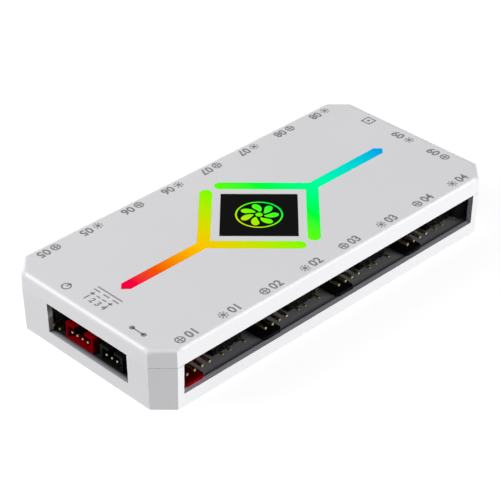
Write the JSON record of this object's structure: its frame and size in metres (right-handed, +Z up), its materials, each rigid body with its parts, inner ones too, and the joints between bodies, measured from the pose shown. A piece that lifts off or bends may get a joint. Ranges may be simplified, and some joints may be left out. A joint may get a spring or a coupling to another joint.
{
  "type": "computer fan and lighting hub",
  "caption": "White two-shell computer fan and lighting hub with cut corners, port windows on all sides, forked glowing light guides and a black centre tile.",
  "frame": {"origin": "middle of the flat underside", "axes": "+X along the case towards the end with the single fan port, -Y towards the front row of ports, +Z up out of the lit top"},
  "size_m": [0.1236, 0.058, 0.0181],
  "materials": {
    "white_shell": "moulded white plastic with a fine satin grain",
    "warm_light": "milky light guide, lit red at the tip through orange to yellow-green",
    "cool_light": "milky light guide, lit green through cyan to blue at the tip",
    "black_tile": "smooth black plastic",
    "board": "dark grey solder mask",
    "black_header": "black moulded insulator",
    "red_header": "deep red moulded insulator",
    "pin_metal": "thin gold plating",
    "led_body": "white body with a clear lens",
    "chip": "black epoxy",
    "capacitor_can": "plain aluminium can",
    "screw_steel": "zinc plated steel"
  },
  "bodies": {
    "root": {"case_screws": "screw_steel", "centre_tile": "black_tile", "controller_chip": "chip", "fan_header_1": "red_header", "fan_header_2": "black_header", "fan_header_3": "black_header", "fan_header_4": "black_header", "fan_header_5": "black_header", "fan_header_6": "black_header", "fan_header_7": "black_header", "fan_header_8": "black_header", "fan_header_9": "black_header", "fan_pins_1": "pin_metal", "fan_pins_2": "pin_metal", "fan_pins_3": "pin_metal", "fan_pins_4": "pin_metal", "fan_pins_5": "pin_metal", "fan_pins_6": "pin_metal", "fan_pins_7": "pin_metal", "fan_pins_8": "pin_metal", "fan_pins_9": "pin_metal", "led_header_1": "black_header", "led_header_2": "black_header", "led_header_3": "black_header", "led_header_4": "black_header", "led_header_5": "black_header", "led_header_6": "black_header", "led_header_7": "black_header", "led_header_8": "black_header", "led_header_9": "black_header", "led_pins_1": "pin_metal", "led_pins_2": "pin_metal", "led_pins_3": "pin_metal", "led_pins_4": "pin_metal", "led_pins_5": "pin_metal", "led_pins_6": "pin_metal", "led_pins_7": "pin_metal", "led_pins_8": "pin_metal", "led_pins_9": "pin_metal", "light_guide_left": "warm_light", "light_guide_right": "cool_light", "lighting_leds": "led_body", "link_header": "black_header", "link_pins": "pin_metal", "lower_tray": "white_shell", "main_board": "board", "panel_header": "black_header", "panel_pins": "pin_metal", "power_header": "red_header", "power_pins": "pin_metal", "supply_capacitor": "capacitor_can", "switch_header": "black_header", "switch_pins": "pin_metal", "upper_cover": "white_shell"}
  },
  "joints": []
}
